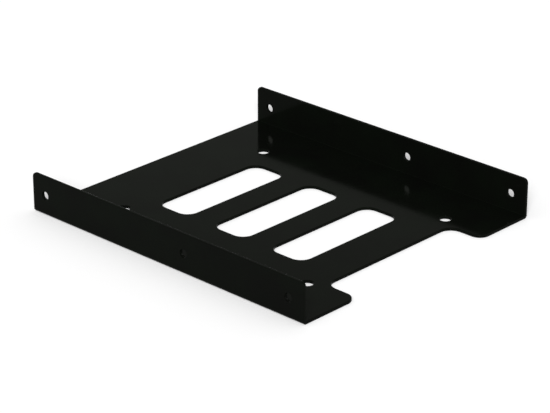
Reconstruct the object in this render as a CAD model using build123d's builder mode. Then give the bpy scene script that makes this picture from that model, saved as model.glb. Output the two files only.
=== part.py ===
"""Drive bay adapter bracket: one steel sheet, cut to a blank, folded up at both sides and painted.

Frame: X runs across the bracket, +Y towards the straight back edge, +Z up. The origin is
at the middle of the bracket's length and width, on its underside.
"""

from build123d import *
from math import isclose
import os

# Sheet and folds
sheet = 1.0                     # thickness of the painted sheet
bend_inner_radius = 0.1         # inside radius of both folds
outer_width = 100.0             # across the outer faces of the flanges
length = 113.1                  # front end to back edge
flange_height = 13.1            # underside to the top edge of a flange
flange_corner_radius = 1.5      # upper corners of the flanges
edge_rounding = 0.2             # rounding that the paint leaves along the sheet's outline
deburr = 0.15                   # chamfer at the mouths of slots and holes in the plate

# Front notch, between the two ears
notch_width = 55.7
notch_depth = 12.15
notch_corner_radius = 4.0       # inner corners of the notch
ear_tip_radius = 3.6            # outer corners of the ears

# Slots across the plate
slot_count = 3
slot_length = 43.8
slot_width = 13.6
slot_corner_radius = 4.0
slot_pitch = 23.7
slots_centre_from_front = 57.5

# Holes in the plate for the small drive's four screws
drive_screw_hole = 3.8
drive_screws_across = 61.72
drive_screws_along = 76.6
drive_screws_from_front = 16.4  # front end to the front pair

# Tapped holes in both flanges for the bay's screws
bay_screw_tap_drill = 2.7
bay_screw_lead_in = 0.2         # chamfer at both mouths of a tapped hole
bay_screw_height = 6.7          # underside to the holes' axis
bay_screws_from_front = 6.0     # front end to the first hole
bay_screw_steps = (41.6, 60.0)  # first hole to the second, second to the third

# Derived places
half_width = outer_width / 2
front = -length / 2
bend_outer_radius = bend_inner_radius + sheet
drive_screws_y = front + drive_screws_from_front + drive_screws_along / 2
slots_y = front + slots_centre_from_front
bay_screw_rows = [front + bay_screws_from_front]
for step in bay_screw_steps:
    bay_screw_rows.append(bay_screw_rows[-1] + step)

with BuildPart() as adapter_bracket:
    # The folded section, front to back: the outer line of the fold, thickened inwards
    with BuildSketch(Plane.XZ):
        with BuildLine():
            FilletPolyline(
                (-half_width, flange_height),
                (-half_width, 0),
                (half_width, 0),
                (half_width, flange_height),
                radius=bend_outer_radius,
            )
            offset(amount=sheet, side=Side.LEFT)
        make_face()
    extrude(amount=length / 2, both=True)

    # Upper corners of the flanges
    flange_tops = adapter_bracket.edges().filter_by(Axis.X).group_by(Axis.Z)[-1]
    fillet(flange_tops, radius=flange_corner_radius)

    # Front notch: its two inner corners are filleted in the sketch, the ears' tips after the cut
    with BuildSketch():
        with Locations((0, front)):
            notch = Rectangle(notch_width, 2 * notch_depth)
        fillet(notch.vertices(), radius=notch_corner_radius)
    extrude(amount=sheet, mode=Mode.SUBTRACT)
    front_corners = adapter_bracket.edges().filter_by(Axis.Z).group_by(Axis.Y)[0]
    ear_tips = front_corners.group_by(SortBy.LENGTH)[0]
    fillet(ear_tips, radius=ear_tip_radius)

    # Paint rounds the outline's edges on both faces of the sheet, but neither the lines
    # where a fold starts nor the corners within the cut wall
    all_edges = adapter_bracket.edges()
    fold_lines = all_edges.filter_by(lambda edge: isclose(edge.length, length))
    wall_corners = all_edges.filter_by(lambda edge: isclose(edge.length, sheet))
    fillet(all_edges - fold_lines - wall_corners, radius=edge_rounding)

    # Slots
    with BuildSketch():
        with Locations((0, slots_y)):
            with GridLocations(0, slot_pitch, 1, slot_count):
                RectangleRounded(slot_length, slot_width, slot_corner_radius)
    extrude(amount=sheet, mode=Mode.SUBTRACT)
    slot_edges = adapter_bracket.edges(Select.LAST)
    chamfer(slot_edges - slot_edges.filter_by(Axis.Z), length=deburr)

    # Screw holes in the plate
    with Locations((0, drive_screws_y, sheet)):
        with GridLocations(drive_screws_across, drive_screws_along, 2, 2):
            Hole(radius=drive_screw_hole / 2, depth=sheet)
    chamfer(adapter_bracket.edges(Select.LAST).filter_by(GeomType.CIRCLE), length=deburr)

    # Tapped holes through both flanges, each with a lead-in at its two mouths
    with Locations(Plane.YZ.offset(half_width)):
        with Locations(*[(row, bay_screw_height) for row in bay_screw_rows]):
            Hole(radius=bay_screw_tap_drill / 2)
    mouths = adapter_bracket.edges(Select.LAST).filter_by(GeomType.CIRCLE)
    chamfer(mouths, length=bay_screw_lead_in)

adapter_bracket.part.label = "adapter_bracket"

os.makedirs("parts", exist_ok=True)
export_step(adapter_bracket.part, "parts/adapter_bracket.step")
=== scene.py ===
"""Visual model of the drive bay adapter bracket: one folded steel sheet in black semi-gloss paint.

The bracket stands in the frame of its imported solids: X runs across it, +Y towards the straight
back edge, +Z up, in metres. Its shape is worked out in millimetres on the flat blank and then
carried round the two folds.
"""
import logging
import math
from dataclasses import dataclass, field
from enum import Enum

import bpy
import numpy as np
from mathutils import Matrix, Vector
from mathutils.geometry import delaunay_2d_cdt


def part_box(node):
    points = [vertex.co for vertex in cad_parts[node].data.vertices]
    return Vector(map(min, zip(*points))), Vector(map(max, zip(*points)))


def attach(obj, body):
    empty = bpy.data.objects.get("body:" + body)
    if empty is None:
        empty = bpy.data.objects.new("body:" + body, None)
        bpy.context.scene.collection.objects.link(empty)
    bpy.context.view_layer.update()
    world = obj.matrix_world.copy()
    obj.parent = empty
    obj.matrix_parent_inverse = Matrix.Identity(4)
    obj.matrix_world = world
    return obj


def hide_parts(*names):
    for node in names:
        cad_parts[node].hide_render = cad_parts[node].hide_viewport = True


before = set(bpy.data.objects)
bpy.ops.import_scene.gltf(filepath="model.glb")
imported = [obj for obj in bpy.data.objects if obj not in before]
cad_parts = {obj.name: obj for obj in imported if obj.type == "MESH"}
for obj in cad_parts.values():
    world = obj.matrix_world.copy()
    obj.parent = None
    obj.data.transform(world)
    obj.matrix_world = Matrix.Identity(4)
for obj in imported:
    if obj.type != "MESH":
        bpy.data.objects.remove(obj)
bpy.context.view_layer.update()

log = logging.getLogger("adapter_bracket")

CAD_NODE = "adapter_bracket"
BODY = "root"
MM = 0.001
WHITE = "#ffffff"
LEAST_ARC_STEPS = 2

# Sockets of a Mix node that mixes colours
MIX_SHARE, MIX_FROM, MIX_TO = 0, 6, 7
MIX_COLOUR = 2


class Side(Enum):
    """A side of the bracket, as the sign of x there."""

    LEFT = -1
    RIGHT = 1


def linear_rgba(colour: str) -> tuple[float, float, float, float]:
    """Turns an sRGB hex colour into the linear values that Blender's sockets hold.

    Each channel goes through the sRGB curve: a straight foot below 0.04045 and a power of 2.4
    above it.

    Args:
        colour: The colour as "#rrggbb".

    Returns:
        Linear red, green and blue, and an alpha of one.
    """
    coded = np.array([int(colour[place:place + 2], 16) for place in (1, 3, 5)]) / 255
    linear = np.where(coded <= 0.04045, coded / 12.92, ((coded + 0.055) / 1.055) ** 2.4)
    return (*linear.tolist(), 1.0)


def add_node(
    tree: bpy.types.NodeTree,
    kind: str,
    inputs: dict[str | int, object] | None = None,
    **settings: object,
) -> bpy.types.Node:
    """Adds a node to a tree with its settings, values and links.

    Args:
        tree: The node tree that gets the node.
        kind: The node's type name.
        inputs: For each input socket, an output socket to link to it or the value it holds.
        **settings: The node's own properties.

    Returns:
        The new node.
    """
    made = tree.nodes.new(kind)
    for name, value in settings.items():
        setattr(made, name, value)
    for key, value in (inputs or {}).items():
        if isinstance(value, bpy.types.NodeSocket):
            tree.links.new(value, made.inputs[key])
        else:
            made.inputs[key].default_value = value
    return made


@dataclass(frozen=True)
class BlackPowderCoat:
    """Semi-gloss black powder coat, sprayed on the folded sheet and baked.

    The eye sees a deep, slightly warm black that mirrors the surroundings softly at low angles,
    a faint orange peel in that mirror image, and a fine grain where the powder flowed together.
    """

    name: str = "semi_gloss_black_powder_coat"
    thick_colour: str = "#090a08"     # where the film is thick
    thin_colour: str = "#0a0d09"      # where it is a little thinner and the light gets deeper
    specular_level: float = 0.0150
    smooth_roughness: float = 0.08
    dull_roughness: float = 0.15
    dull_span: tuple[float, float] = (0.12, 0.38)   # of the patterns' product, smooth to dull
    refraction: float = 1.5           # of the baked resin
    cloud_size: float = 14.0          # mm, slow drift of the film's thickness
    cloud_detail: float = 3.0         # octaves
    cloud_span: tuple[float, float] = (0.35, 0.65)  # of the pattern, thick to thin
    peel_size: float = 1.8            # mm from one swell of the orange peel to the next
    peel_detail: float = 1.0          # octaves
    peel_height: float = 0.006        # mm
    grain_size: float = 0.35          # mm; real powder grains are finer and would not show
    grain_detail: float = 2.0         # octaves
    grain_height: float = 0.0012      # mm

    def material(self) -> bpy.types.Material:
        """Builds the paint as a node material on Object coordinates.

        Returns:
            The new material.
        """
        made = bpy.data.materials.new(self.name)
        made.use_nodes = True
        tree = made.node_tree
        tree.nodes.clear()
        place = add_node(tree, "ShaderNodeTexCoord").outputs["Object"]
        clouds = add_node(
            tree,
            "ShaderNodeTexNoise",
            {
                "Vector": place,
                "Scale": 1 / (self.cloud_size * MM),
                "Detail": self.cloud_detail,
            },
        ).outputs["Fac"]
        peel = add_node(
            tree,
            "ShaderNodeTexNoise",
            {
                "Vector": place,
                "Scale": 1 / (self.peel_size * MM),
                "Detail": self.peel_detail,
            },
        ).outputs["Fac"]
        grain = add_node(
            tree,
            "ShaderNodeTexNoise",
            {
                "Vector": place,
                "Scale": 1 / (self.grain_size * MM),
                "Detail": self.grain_detail,
            },
        ).outputs["Fac"]

        film = self._film(tree, clouds)
        dullness = add_node(
            tree,
            "ShaderNodeMath",
            {0: clouds, 1: grain},
            operation="MULTIPLY",
        ).outputs[0]
        roughness = add_node(
            tree,
            "ShaderNodeMapRange",
            {
                "Value": dullness,
                "From Min": self.dull_span[0],
                "From Max": self.dull_span[1],
                "To Min": self.smooth_roughness,
                "To Max": self.dull_roughness,
            },
        ).outputs["Result"]
        swells = add_node(
            tree,
            "ShaderNodeBump",
            {"Height": peel, "Distance": self.peel_height * MM, "Strength": 1.0},
        ).outputs["Normal"]
        surface = add_node(
            tree,
            "ShaderNodeBump",
            {
                "Height": grain,
                "Distance": self.grain_height * MM,
                "Strength": 1.0,
                "Normal": swells,
            },
        ).outputs["Normal"]
        shader = add_node(
            tree,
            "ShaderNodeBsdfPrincipled",
            {
                "Base Color": film,
                "Roughness": roughness,
                "Normal": surface,
                "IOR": self.refraction,
                "Specular IOR Level": self.specular_level,
            },
        )
        add_node(tree, "ShaderNodeOutputMaterial", {"Surface": shader.outputs["BSDF"]})
        return made

    def _film(
        self, tree: bpy.types.NodeTree, clouds: bpy.types.NodeSocket
    ) -> bpy.types.NodeSocket:
        """Mixes the film's two blacks by the slow clouds.

        Args:
            tree: The paint's node tree.
            clouds: The slow pattern.

        Returns:
            The colour's socket.
        """
        thick, thin = self.cloud_span
        share = add_node(
            tree,
            "ShaderNodeMapRange",
            {"Value": clouds, "From Min": thick, "From Max": thin},
        ).outputs["Result"]
        return add_node(
            tree,
            "ShaderNodeMix",
            {
                MIX_SHARE: share,
                MIX_FROM: linear_rgba(self.thick_colour),
                MIX_TO: linear_rgba(self.thin_colour),
            },
            data_type="RGBA",
        ).outputs[MIX_COLOUR]


@dataclass(frozen=True)
class Fold:
    """The sheet's section: a flat plate with a flange folded up at each side.

    The blank is measured along the outer skin: across is 0 at the middle and grows to the
    right, depth is 0 on the outer skin and grows to the inner one. All sizes are millimetres.
    """

    outer_width: float
    height: float
    sheet: float = 1.0
    inner_radius: float = 0.1

    @property
    def outer_radius(self) -> float:
        """Radius of the folds' outer skin."""
        return self.inner_radius + self.sheet

    @property
    def flat_half(self) -> float:
        """Half of the plate's flat width."""
        return self.outer_width / 2 - self.outer_radius

    @property
    def bend_length(self) -> float:
        """Length of a quarter turn on the outer skin."""
        return self.outer_radius * math.pi / 2

    @property
    def blank_half(self) -> float:
        """Half of the blank's width."""
        return self.across_at(self.height)

    def across_at(self, height: float) -> float:
        """Place across the blank's right half of a point at some height on the flange."""
        return self.flat_half + self.bend_length + height - self.outer_radius

    def _turned(self, across: np.ndarray) -> tuple[np.ndarray, np.ndarray, np.ndarray]:
        """Finds how far places on the blank have gone round a fold and past it.

        The angle is the arc length past the flat half-width over the outer radius, held
        between 0 and a quarter turn.

        Args:
            across: Places across the blank.

        Returns:
            The side as the sign of x, the angle turned and the distance gone past the fold.
        """
        beyond = np.abs(across) - self.flat_half
        angle = np.clip(beyond / self.outer_radius, 0.0, math.pi / 2)
        past = np.maximum(beyond - self.bend_length, 0.0)
        return np.sign(across), angle, past

    def carry(self, blank: np.ndarray) -> np.ndarray:
        """Carries points from the blank into space.

        Up to the flat half-width a point stays where it is. From there it turns about the
        fold's axis, by the arc length gone on the outer skin over the outer radius, at the
        outer radius less its depth. After a quarter turn it goes straight up.

        Args:
            blank: Rows of across, along and depth.

        Returns:
            Rows of x, y and z.
        """
        across, along, depth = blank.T
        side, angle, past = self._turned(across)
        radius = self.outer_radius - depth
        x = side * (np.minimum(np.abs(across), self.flat_half) + radius * np.sin(angle))
        z = self.outer_radius - radius * np.cos(angle) + past
        return np.column_stack((x, along, z))

    def turn(self, blank: np.ndarray, directions: np.ndarray) -> np.ndarray:
        """Turns directions on the blank with the sheet: across to the section's tangent and
        depth to its inward normal, by the angle that the sheet has turned there.

        Args:
            blank: Rows of across, along and depth where the directions stand.
            directions: Rows of steps across, along and into the depth.

        Returns:
            Rows of x, y and z.
        """
        side, angle, _ = self._turned(blank[:, 0])
        cosine, sine = np.cos(angle), side * np.sin(angle)
        x = directions[:, 0] * cosine - directions[:, 2] * sine
        z = directions[:, 0] * sine + directions[:, 2] * cosine
        return np.column_stack((x, directions[:, 1], z))


@dataclass(frozen=True)
class Lattice:
    """Lines across and along the blank on which the skins and the straight edges have points."""

    across: np.ndarray
    along: np.ndarray

    def between(self, start: np.ndarray, end: np.ndarray, clearance: float) -> np.ndarray:
        """Points of a straight edge at the lattice lines that it crosses.

        Args:
            start: The edge's first point, across and along.
            end: Its last point; the edge runs along one of the two directions.
            clearance: How far from both ends the points stay.

        Returns:
            Rows of across and along, in order from start to end.
        """
        run = int(abs(end[1] - start[1]) > abs(end[0] - start[0]))
        lines = self.along if run else self.across
        low, high = sorted((start[run], end[run]))
        crossed = lines[(lines > low + clearance) & (lines < high - clearance)]
        share = np.sort(np.abs(crossed - start[run])) / (high - low)
        return start + share[:, None] * (end - start)


@dataclass(frozen=True)
class Wall:
    """The surface between the two skins along one closed line of the blank.

    Attributes:
        points: Across, along and depth for each point along the line and each row of the wall,
            from the outer skin to the inner one.
        normals: Directions out of the steel at the same points, in the blank's directions.
    """

    points: np.ndarray
    normals: np.ndarray

    @property
    def edge(self) -> np.ndarray:
        """The line where the wall meets the skins, as rows of across and along."""
        return self.points[:, 0, :2]

    def quads(self, first: int) -> np.ndarray:
        """Faces of the wall, closed round the line.

        Args:
            first: Number of the wall's first vertex in the mesh.

        Returns:
            Rows of four vertex numbers, whose faces point out of the steel.
        """
        count, rows = self.points.shape[:2]
        numbers = first + np.arange(count * rows).reshape(count, rows)
        following = np.roll(numbers, -1, axis=0)
        corners = (numbers[:, :-1], following[:, :-1], following[:, 1:], numbers[:, 1:])
        return np.stack(corners, axis=-1).reshape(-1, 4)


class Edges:
    """The closed lines where the walls meet the skins, as straight pieces from point to point."""

    def __init__(self, lines: list[np.ndarray]) -> None:
        """Takes the lines apart into pieces.

        Args:
            lines: Rows of across and along for each closed line.
        """
        self.starts = np.vstack(lines)
        self.ends = np.vstack([np.roll(line, -1, axis=0) for line in lines])

    def distance(self, points: np.ndarray) -> np.ndarray:
        """Distance of points from the nearest piece: a piece's nearest point is where the
        point's offset from its start, laid along it, falls, held between its two ends.

        Args:
            points: Rows of across and along.

        Returns:
            A distance for each point.
        """
        runs = self.ends - self.starts
        offsets = points[:, None, :] - self.starts
        share = (offsets * runs).sum(axis=2) / (runs ** 2).sum(axis=1)
        gaps = offsets - np.clip(share, 0, 1)[:, :, None] * runs
        return np.sqrt((gaps ** 2).sum(axis=2)).min(axis=1)

    def enclose(self, points: np.ndarray) -> np.ndarray:
        """Tells which points lie in the sheet: a ray from such a point crosses the lines an
        odd number of times.

        Args:
            points: Rows of across and along.

        Returns:
            True or false for each point.
        """
        runs = self.ends - self.starts
        along = points[:, 1:]
        spans = (self.starts[:, 1] > along) != (self.ends[:, 1] > along)
        rise = np.where(runs[:, 1] == 0, 1.0, runs[:, 1])
        crossing = self.starts[:, 0] + (along - self.starts[:, 1]) / rise * runs[:, 0]
        return (spans & (points[:, :1] < crossing)).sum(axis=1) % 2 == 1


def rounded_line(
    corners: np.ndarray,
    radii: np.ndarray,
    lattice: Lattice,
    arc_step: float,
    clearance: float,
) -> tuple[np.ndarray, np.ndarray]:
    """A closed line through corners that are each rounded by an arc, the sheet on its left.

    An arc starts at its radius times the tangent of half the corner's turn before the corner.
    Its centre lies at the radius from both sides, and the direction out of the sheet turns
    evenly with the arc. Between the arcs the line has points at the lattice's lines.

    Args:
        corners: Rows of across and along.
        radii: A radius for each corner.
        lattice: The lines at which straight runs get points.
        arc_step: Largest distance between points on an arc, in mm.
        clearance: How far from an arc a straight run's points stay, in mm.

    Returns:
        The line's points, and the directions out of the sheet at them.
    """
    into = corners - np.roll(corners, 1, axis=0)
    into = into / np.linalg.norm(into, axis=1, keepdims=True)
    leaving = np.roll(into, -1, axis=0)
    crossed = into[:, 0] * leaving[:, 1] - into[:, 1] * leaving[:, 0]
    turns = np.arctan2(crossed, (into * leaving).sum(axis=1))
    lengths = radii * np.tan(np.abs(turns) / 2)
    starts = corners - into * lengths[:, None]
    ends = corners + leaving * lengths[:, None]

    points, outward = [], []
    for number, (turn, radius) in enumerate(zip(turns, radii)):
        steps = max(LEAST_ARC_STEPS, math.ceil(abs(turn) * radius / arc_step))
        angles = np.linspace(0.0, turn, steps + 1)
        out = np.array([into[number, 1], -into[number, 0]])
        cosine, sine = np.cos(angles), np.sin(angles)
        directions = np.column_stack(
            (cosine * out[0] - sine * out[1], sine * out[0] + cosine * out[1])
        )
        bulge = math.copysign(radius, turn)
        points.append(starts[number] + bulge * (directions - out))
        outward.append(directions)

        run = lattice.between(ends[number], starts[(number + 1) % len(corners)], clearance)
        points.append(run)
        outward.append(np.broadcast_to(directions[-1], run.shape))
    return np.vstack(points), np.vstack(outward)


@dataclass(frozen=True)
class RoundedEdge:
    """A cut wall whose two edges the paint rounds over."""

    rounding: float           # mm
    steps: int = 5            # along each quarter round

    def wall(self, line: np.ndarray, outward: np.ndarray, sheet: float) -> Wall:
        """Carries the edge's profile along a closed line.

        The profile is a quarter circle from the outer skin to the wall, the wall, and a
        quarter circle to the inner skin: it reaches out by the rounding times the sine of an
        angle that goes from 0 to a half turn, and its depth follows that angle's cosine at
        each skin.

        Args:
            line: The finished edge's line, as rows of across and along.
            outward: Directions out of the sheet at the line's points.
            sheet: The sheet's thickness.

        Returns:
            The wall.
        """
        quarter = np.linspace(0.0, math.pi / 2, self.steps + 1)
        angle = np.concatenate((quarter, math.pi - quarter[::-1]))
        depth = self.rounding * (1 - np.abs(np.cos(angle)))
        depth = np.where(np.arange(len(angle)) <= self.steps, depth, sheet - depth)
        reach = self.rounding * (np.sin(angle) - 1)
        flat = line[:, None, :] + outward[:, None, :] * reach[None, :, None]
        points = np.dstack((flat, np.broadcast_to(depth, flat.shape[:2])))
        leaning = outward[:, None, :] * np.sin(angle)[None, :, None]
        normals = np.dstack((leaning, np.broadcast_to(-np.cos(angle), flat.shape[:2])))
        return Wall(points, normals)


@dataclass(frozen=True)
class TappedHole:
    """A hole with a number 6-32 thread and a small lead-in at both mouths, in mm."""

    minor_radius: float = 1.35
    major_radius: float = 1.75
    mouth_radius: float = 1.42
    pitch: float = 0.794
    crest_share: float = 0.25         # of the pitch, flat at the minor radius
    root_share: float = 0.125         # of the pitch, flat at the major radius
    segments: int = 72
    rows: int = 29

    def wall(self, across: float, along: float, sheet: float) -> Wall:
        """Winds the thread through the sheet.

        The radius at an angle and a depth is that of a trapezoid wave of the depth over the
        pitch less the angle over a full turn, so that its crest climbs one pitch a turn as a
        right-hand thread. It is never less than the 45 degree lead-in from either mouth, and
        never more than a cone that opens from the mouths.

        Args:
            across: The hole's place across the blank.
            along: Its place along the blank.
            sheet: The sheet's thickness.

        Returns:
            The wall, with normals from the surface's own slopes.
        """
        angle = -np.arange(self.segments)[:, None] * 2 * math.pi / self.segments
        depth = np.linspace(0.0, sheet, self.rows)[None, :]
        phase = (depth / self.pitch - angle / (2 * math.pi)) % 1.0
        wave = np.abs(2 * phase - 1)
        flank = (wave - self.crest_share) / (1 - self.root_share - self.crest_share)
        radius = self.minor_radius + (self.major_radius - self.minor_radius) * np.clip(flank, 0, 1)
        inward = np.minimum(depth, sheet - depth)
        radius = np.clip(radius, self.mouth_radius - inward, self.mouth_radius + inward)
        points = np.dstack((
            across + radius * np.cos(angle),
            along + radius * np.sin(angle),
            np.broadcast_to(depth, radius.shape),
        ))

        round_about = np.roll(points, -1, axis=0) - np.roll(points, 1, axis=0)
        through = np.gradient(points, axis=1)
        normals = np.cross(round_about, through)
        normals /= np.linalg.norm(normals, axis=2, keepdims=True)
        normals[:, 0] = (0.0, 0.0, -1.0)
        normals[:, -1] = (0.0, 0.0, 1.0)
        return Wall(points, normals)


@dataclass
class FoldedSheet:
    """The bracket itself: outline, slots and holes cut in one sheet that is folded at both sides.

    All sizes are millimetres; along is measured from the middle of the length.
    """

    outer_width: float
    length: float
    height: float
    name: str = "folded_sheet"
    paint: BlackPowderCoat = field(default_factory=BlackPowderCoat)
    fold: Fold = field(init=False)
    front: float = field(init=False)
    lattice: Lattice = field(init=False)

    # Outline
    flange_corner_radius: float = 1.5
    ear_tip_radius: float = 3.6
    notch_width: float = 55.7
    notch_depth: float = 12.15
    notch_corner_radius: float = 4.0
    outline_rounding: float = 0.2

    # Slots
    slot_count: int = 3
    slot_length: float = 43.8
    slot_width: float = 13.6
    slot_corner_radius: float = 4.0
    slot_pitch: float = 23.7
    slots_centre_from_front: float = 57.5
    slot_rounding: float = 0.15

    # Holes for the small drive
    drive_hole_radius: float = 1.9
    drive_holes_across: float = 61.72
    drive_holes_along: float = 76.6
    drive_holes_from_front: float = 16.4
    drive_hole_rounding: float = 0.15
    drive_hole_segments: int = 64

    # Tapped holes for the bay
    bay_hole_height: float = 6.7
    bay_holes_from_front: float = 6.0
    bay_hole_steps: tuple[float, float] = (41.6, 60.0)

    # Fineness of the mesh
    lattice_step: float = 2.0
    fold_steps: int = 14
    arc_step: float = 0.45
    clearance: float = 0.5

    def __post_init__(self) -> None:
        """Works out the section, the lattice and the front end."""
        self.fold = Fold(self.outer_width, self.height)
        self.front = -self.length / 2
        self.lattice = self._lattice()

    def _lattice(self) -> Lattice:
        """Lays the lattice: even lines over the plate, the flanges and the length, and closer
        ones at equal angles round the folds.

        Returns:
            The lattice.
        """
        fold = self.fold
        flat = np.linspace(-fold.flat_half, fold.flat_half, self._steps(2 * fold.flat_half) + 1)
        bend = fold.flat_half + np.linspace(0.0, fold.bend_length, self.fold_steps + 1)[1:]
        flange_height = fold.blank_half - bend[-1]
        flange = np.linspace(bend[-1], fold.blank_half, self._steps(flange_height) + 1)[1:]
        right = np.concatenate((bend, flange))
        across = np.concatenate((-right[::-1], flat, right))
        along = np.linspace(self.front, -self.front, self._steps(self.length) + 1)
        return Lattice(across, along)

    def _steps(self, distance: float) -> int:
        """Number of lattice steps over a distance."""
        return math.ceil(distance / self.lattice_step)

    def _line(self, corners: np.ndarray, radii: np.ndarray) -> tuple[np.ndarray, np.ndarray]:
        """A rounded line with this sheet's lattice and fineness."""
        return rounded_line(corners, radii, self.lattice, self.arc_step, self.clearance)

    def outline(self) -> Wall:
        """Outline of the blank: a rectangle with a notch in its front edge, so that an ear is
        left at each side of the notch.

        Returns:
            The wall round the sheet.
        """
        side, notch = self.fold.blank_half, self.notch_width / 2
        inner = self.front + self.notch_depth
        corners = np.array([
            (notch, self.front), (side, self.front), (side, -self.front),
            (-side, -self.front), (-side, self.front), (-notch, self.front),
            (-notch, inner), (notch, inner),
        ])
        tip, flange = self.ear_tip_radius, self.flange_corner_radius
        hollow = self.notch_corner_radius
        radii = np.array([tip, flange, flange, flange, flange, tip, hollow, hollow])
        line, outward = self._line(corners, radii)
        return RoundedEdge(self.outline_rounding).wall(line, outward, self.fold.sheet)

    def slots(self) -> list[Wall]:
        """The slots across the plate, as rectangles with rounded corners.

        Returns:
            A wall for each slot, front to back.
        """
        half = np.array([self.slot_length, self.slot_width]) / 2
        corners = half * [(-1, -1), (-1, 1), (1, 1), (1, -1)]
        radii = np.full(len(corners), self.slot_corner_radius)
        middle = self.front + self.slots_centre_from_front
        rows = middle + self.slot_pitch * (np.arange(self.slot_count) - (self.slot_count - 1) / 2)
        edge = RoundedEdge(self.slot_rounding)
        return [
            edge.wall(*self._line(corners + (0.0, row), radii), self.fold.sheet) for row in rows
        ]

    def drive_holes(self) -> list[Wall]:
        """The four plain holes in the plate for the small drive's screws. The line round a
        hole runs clockwise, so that the sheet is on its left.

        Returns:
            A wall for each hole.
        """
        angle = -np.linspace(0.0, 2 * math.pi, self.drive_hole_segments, endpoint=False)
        ring = np.column_stack((np.cos(angle), np.sin(angle)))
        edge = RoundedEdge(self.drive_hole_rounding)
        front_row = self.front + self.drive_holes_from_front
        rows = (front_row, front_row + self.drive_holes_along)
        return [
            edge.wall(
                ring * self.drive_hole_radius + (side.value * self.drive_holes_across / 2, row),
                -ring,
                self.fold.sheet,
            )
            for row in rows
            for side in Side
        ]

    def bay_holes(self) -> list[Wall]:
        """The tapped holes in the flanges for the bay's screws, three on each side.

        Returns:
            A wall for each hole.
        """
        rows = self.front + self.bay_holes_from_front + np.cumsum((0.0, *self.bay_hole_steps))
        across = self.fold.across_at(self.bay_hole_height)
        hole = TappedHole()
        return [
            hole.wall(side.value * across, row, self.fold.sheet) for side in Side for row in rows
        ]

    def _skin_points(self, edges: Edges) -> np.ndarray:
        """Lattice points that lie in the sheet and clear of its edges.

        Args:
            edges: The closed lines of all walls.

        Returns:
            Rows of across and along.
        """
        across, along = np.meshgrid(self.lattice.across, self.lattice.along)
        points = np.column_stack((across.ravel(), along.ravel()))
        return points[edges.enclose(points) & (edges.distance(points) > self.clearance)]

    def mesh(self) -> bpy.types.Mesh:
        """Joins the walls with the two skins and folds the whole sheet.

        A skin is the blank's plane at depth 0 or at the sheet's thickness, divided into
        triangles between the walls' edges and the lattice points. Walls and skins share their
        vertices, so the steel is one closed shell, and every vertex keeps its exact normal.

        Returns:
            The mesh, in metres.
        """
        walls = [self.outline(), *self.slots(), *self.drive_holes(), *self.bay_holes()]
        lines = [wall.edge for wall in walls]
        edges = Edges(lines)
        inner_points = self._skin_points(edges)

        sizes = [wall.points.shape[0] * wall.points.shape[1] for wall in walls]
        firsts = np.concatenate(([0], np.cumsum(sizes)))
        blank = [wall.points.reshape(-1, 3) for wall in walls]
        directions = [wall.normals.reshape(-1, 3) for wall in walls]
        quads = np.vstack([wall.quads(int(first)) for wall, first in zip(walls, firsts)])

        triangles = self._triangles(lines, inner_points)
        skins = []
        for depth, row, facing in ((0.0, 0, -1.0), (self.fold.sheet, -1, 1.0)):
            on_walls = [
                first + np.arange(wall.points.size // 3).reshape(wall.points.shape[:2])[:, row]
                for wall, first in zip(walls, firsts)
            ]
            start = sum(len(part) for part in blank)
            numbers = np.concatenate((*on_walls, start + np.arange(len(inner_points))))
            skin = numbers[triangles]
            skins.append(skin if facing > 0 else skin[:, ::-1])
            blank.append(np.column_stack((inner_points, np.full(len(inner_points), depth))))
            directions.append(np.tile((0.0, 0.0, facing), (len(inner_points), 1)))

        blank, directions = np.vstack(blank), np.vstack(directions)
        places = self.fold.carry(blank) * MM
        normals = self.fold.turn(blank, directions)
        faces = quads.tolist() + np.vstack(skins).tolist()
        made = bpy.data.meshes.new(self.name)
        made.from_pydata(places.tolist(), [], faces)
        made.shade_smooth()
        made.normals_split_custom_set_from_vertices(normals.tolist())
        return made

    @staticmethod
    def _triangles(lines: list[np.ndarray], inner_points: np.ndarray) -> np.ndarray:
        """Divides the blank into triangles that keep the walls' edges, openings left out.

        Args:
            lines: The closed lines of all walls.
            inner_points: The skin's other points.

        Returns:
            Rows of three point numbers, counter-clockwise; the lines' points come first.
        """
        counts = [len(line) for line in lines]
        firsts = np.cumsum([0, *counts])
        points = np.vstack((*lines, inner_points))
        pairs = np.vstack([
            np.column_stack((np.arange(count), np.roll(np.arange(count), -1))) + first
            for count, first in zip(counts, firsts)
        ])
        whole_hull, tolerance = 0, 1e-6
        made = delaunay_2d_cdt(
            [Vector(point) for point in points.tolist()], pairs.tolist(), [], whole_hull, tolerance
        )
        original = np.array([numbers[0] for numbers in made[3]])
        triangles = original[np.array(made[2])]
        return triangles[Edges(lines).enclose(points[triangles].mean(axis=1))]

    def build(self) -> bpy.types.Object:
        """Makes the bracket's object, in its paint and in place of the CAD node.

        Returns:
            The object.
        """
        piece = bpy.data.objects.new(self.name, self.mesh())
        bpy.context.scene.collection.objects.link(piece)
        piece.data.materials.append(self.paint.material())
        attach(piece, BODY)
        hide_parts(CAD_NODE)
        return piece


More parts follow.
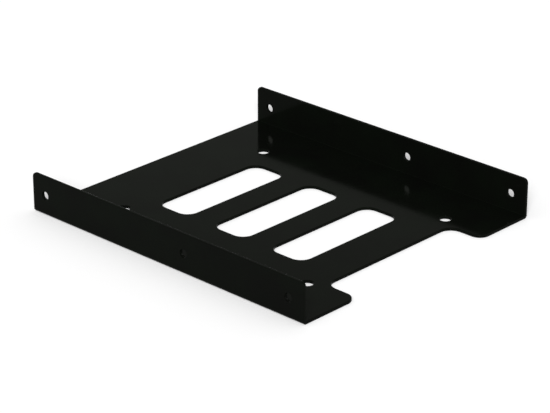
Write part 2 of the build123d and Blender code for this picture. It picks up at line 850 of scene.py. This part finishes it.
@dataclass
class Studio:
    """A plain pale floor under plain soft light."""

    floor_half: float = 4.0           # metres
    floor_colour: str = "#fafafa"
    floor_glow: float = 0.08          # what the camera sees beyond the lit colour
    room_light: float = 0.52          # the world's level for everything that it lights
    ceiling_colour: str = "#ccd1c8"   # the ceiling in gloss, where the walls are white
    ceiling_from: tuple[float, float] = (12.0, 21.0)   # degrees up, where walls become ceiling
    lamp_level: float = 2.85          # the lamp's irradiance, in W/m2
    lamp_from: tuple[float, float, float] = (-1.0, -0.8, 0.8)
    lamp_spread: float = 24.0         # degrees across

    def _ceiling(self, tree: bpy.types.NodeTree) -> bpy.types.NodeSocket:
        """Colours the room by height: white walls up to a low angle, then a dimmer ceiling,
        which only gloss and glass can see; the camera has white all round.

        The ceiling's share rises smoothly with the direction's height, from nothing at the
        sine of the first angle to all at the sine of the second.

        Args:
            tree: The world's node tree.

        Returns:
            The colour's socket.
        """
        direction = add_node(tree, "ShaderNodeTexCoord").outputs["Generated"]
        height = add_node(tree, "ShaderNodeSeparateXYZ", {0: direction}).outputs["Z"]
        low, high = (math.sin(math.radians(angle)) for angle in self.ceiling_from)
        share = add_node(
            tree,
            "ShaderNodeMapRange",
            {"Value": height, "From Min": low, "From Max": high},
            interpolation_type="SMOOTHSTEP",
        ).outputs["Result"]
        camera = add_node(tree, "ShaderNodeLightPath").outputs["Is Camera Ray"]
        ceiling = add_node(
            tree, "ShaderNodeMath", {0: share, 1: camera}, operation="SUBTRACT", use_clamp=True
        ).outputs[0]
        return add_node(
            tree,
            "ShaderNodeMix",
            {
                MIX_SHARE: ceiling,
                MIX_FROM: linear_rgba(WHITE),
                MIX_TO: linear_rgba(self.ceiling_colour),
            },
            data_type="RGBA",
        ).outputs[MIX_COLOUR]

    def _seen(self, tree: bpy.types.NodeTree) -> bpy.types.NodeSocket:
        """Tells the rays that show the background from the rest: it is the greatest of the
        camera's, gloss's and glass's own marks, which are one or nothing.

        Args:
            tree: The node tree of the world or of the floor's material.

        Returns:
            The socket that is one for those rays.
        """
        ray = add_node(tree, "ShaderNodeLightPath").outputs
        mirrored = add_node(
            tree,
            "ShaderNodeMath",
            {0: ray["Is Glossy Ray"], 1: ray["Is Transmission Ray"]},
            operation="MAXIMUM",
        ).outputs[0]
        return add_node(
            tree, "ShaderNodeMath", {0: ray["Is Camera Ray"], 1: mirrored}, operation="MAXIMUM"
        ).outputs[0]

    def floor(self) -> bpy.types.Object:
        """Lays the floor: a matt pale sheet that glows a little for the rays that show the
        background, so that its lit part is white and the object's shadow stays. From below it
        is clear.

        Returns:
            The floor's object.
        """
        corner = self.floor_half * np.array([(-1, -1, 0), (1, -1, 0), (1, 1, 0), (-1, 1, 0)])
        mesh = bpy.data.meshes.new("studio_floor")
        mesh.from_pydata(corner.tolist(), [], [(0, 1, 2, 3)])
        floor = bpy.data.objects.new("studio_floor", mesh)
        bpy.context.scene.collection.objects.link(floor)

        made = bpy.data.materials.new("matt_pale_floor")
        made.use_nodes = True
        tree = made.node_tree
        tree.nodes.clear()
        matt = add_node(
            tree, "ShaderNodeBsdfDiffuse", {"Color": linear_rgba(self.floor_colour)}
        ).outputs["BSDF"]
        level = add_node(
            tree, "ShaderNodeMath", {0: self._seen(tree), 1: self.floor_glow}, operation="MULTIPLY"
        ).outputs[0]
        glow = add_node(tree, "ShaderNodeEmission", {"Strength": level}).outputs["Emission"]
        lit = add_node(tree, "ShaderNodeAddShader", {0: matt, 1: glow}).outputs[0]
        clear = add_node(tree, "ShaderNodeBsdfTransparent").outputs["BSDF"]
        below = add_node(tree, "ShaderNodeNewGeometry").outputs["Backfacing"]
        shown = add_node(tree, "ShaderNodeMixShader", {0: below, 1: lit, 2: clear}).outputs[0]
        add_node(tree, "ShaderNodeOutputMaterial", {"Surface": shown})
        mesh.materials.append(made)
        return floor

    def room(self) -> None:
        """Sets the world: even light, and white for the rays that show the background."""
        world = bpy.data.worlds.new("studio_room")
        world.use_nodes = True
        tree = world.node_tree
        tree.nodes.clear()
        lighting = add_node(
            tree,
            "ShaderNodeBackground",
            {"Color": linear_rgba(WHITE), "Strength": self.room_light},
        ).outputs[0]
        white = add_node(
            tree,
            "ShaderNodeBackground",
            {"Color": self._ceiling(tree), "Strength": 1.0},
        ).outputs[0]
        mix = add_node(tree, "ShaderNodeMixShader", {0: self._seen(tree), 1: lighting, 2: white})
        add_node(tree, "ShaderNodeOutputWorld", {"Surface": mix.outputs[0]})
        bpy.context.scene.world = world

    def lamp(self) -> bpy.types.Object:
        """Hangs the soft lamp: a sun with some breadth, from the front left and above.

        Returns:
            The lamp's object.
        """
        data = bpy.data.lights.new("soft_front_lamp", "SUN")
        data.energy = self.lamp_level
        data.angle = math.radians(self.lamp_spread)
        lamp = bpy.data.objects.new("soft_front_lamp", data)
        lamp.rotation_euler = Vector(self.lamp_from).to_track_quat("Z", "Y").to_euler()
        bpy.context.scene.collection.objects.link(lamp)
        return lamp

    def build(self) -> None:
        """Lays the floor, sets the room and hangs the lamp."""
        self.floor()
        self.room()
        self.lamp()


@dataclass(frozen=True)
class ProductCamera:
    """The camera at the photograph's angle."""

    azimuth: float = -46.482          # degrees, 0 looks along +Y
    elevation: float = 24.090         # degrees above the horizon
    distance: float = 738.66          # mm from the point it looks at
    target: tuple[float, float, float] = (3.330, 5.130, 0.0)   # mm
    lens: float = 156.74              # mm, for the sensor's width
    sensor: float = 36.0              # mm

    def build(self) -> bpy.types.Object:
        """Places the camera and makes it the scene's own.

        It stands back from the target along its azimuth and elevation. Its right is level and
        square to its view, and its up is square to both.

        Returns:
            The camera's object.
        """
        azimuth, elevation = np.radians((self.azimuth, self.elevation))
        back = np.array([
            np.sin(azimuth) * np.cos(elevation),
            -np.cos(azimuth) * np.cos(elevation),
            np.sin(elevation),
        ])
        right = np.array([np.cos(azimuth), np.sin(azimuth), 0.0])
        up = np.cross(back, right)
        place = (np.array(self.target) + self.distance * back) * MM

        data = bpy.data.cameras.new("product_camera")
        data.sensor_width = self.sensor
        data.lens = self.lens
        camera = bpy.data.objects.new("product_camera", data)
        turned = Matrix(np.column_stack((right, up, back)).tolist())
        camera.matrix_world = Matrix.Translation(place.tolist()) @ turned.to_4x4()
        bpy.context.scene.collection.objects.link(camera)
        bpy.context.scene.camera = camera
        return camera


def report(piece: bpy.types.Object) -> None:
    """Logs a piece's name and its number of vertices and faces."""
    mesh = piece.data
    log.info("%s: %d vertices, %d faces", piece.name, len(mesh.vertices), len(mesh.polygons))


def main() -> None:
    """Builds the bracket, the studio and the camera, and reports the piece."""
    logging.basicConfig(level=logging.INFO)
    bpy.context.scene.view_settings.view_transform = "Standard"
    low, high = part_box(CAD_NODE)
    width, length, height = ((high - low) / MM)[:]
    bracket = FoldedSheet(width, length, height).build()
    report(bracket)
    Studio().build()
    ProductCamera().build()


if __name__ == "__main__":
    main()
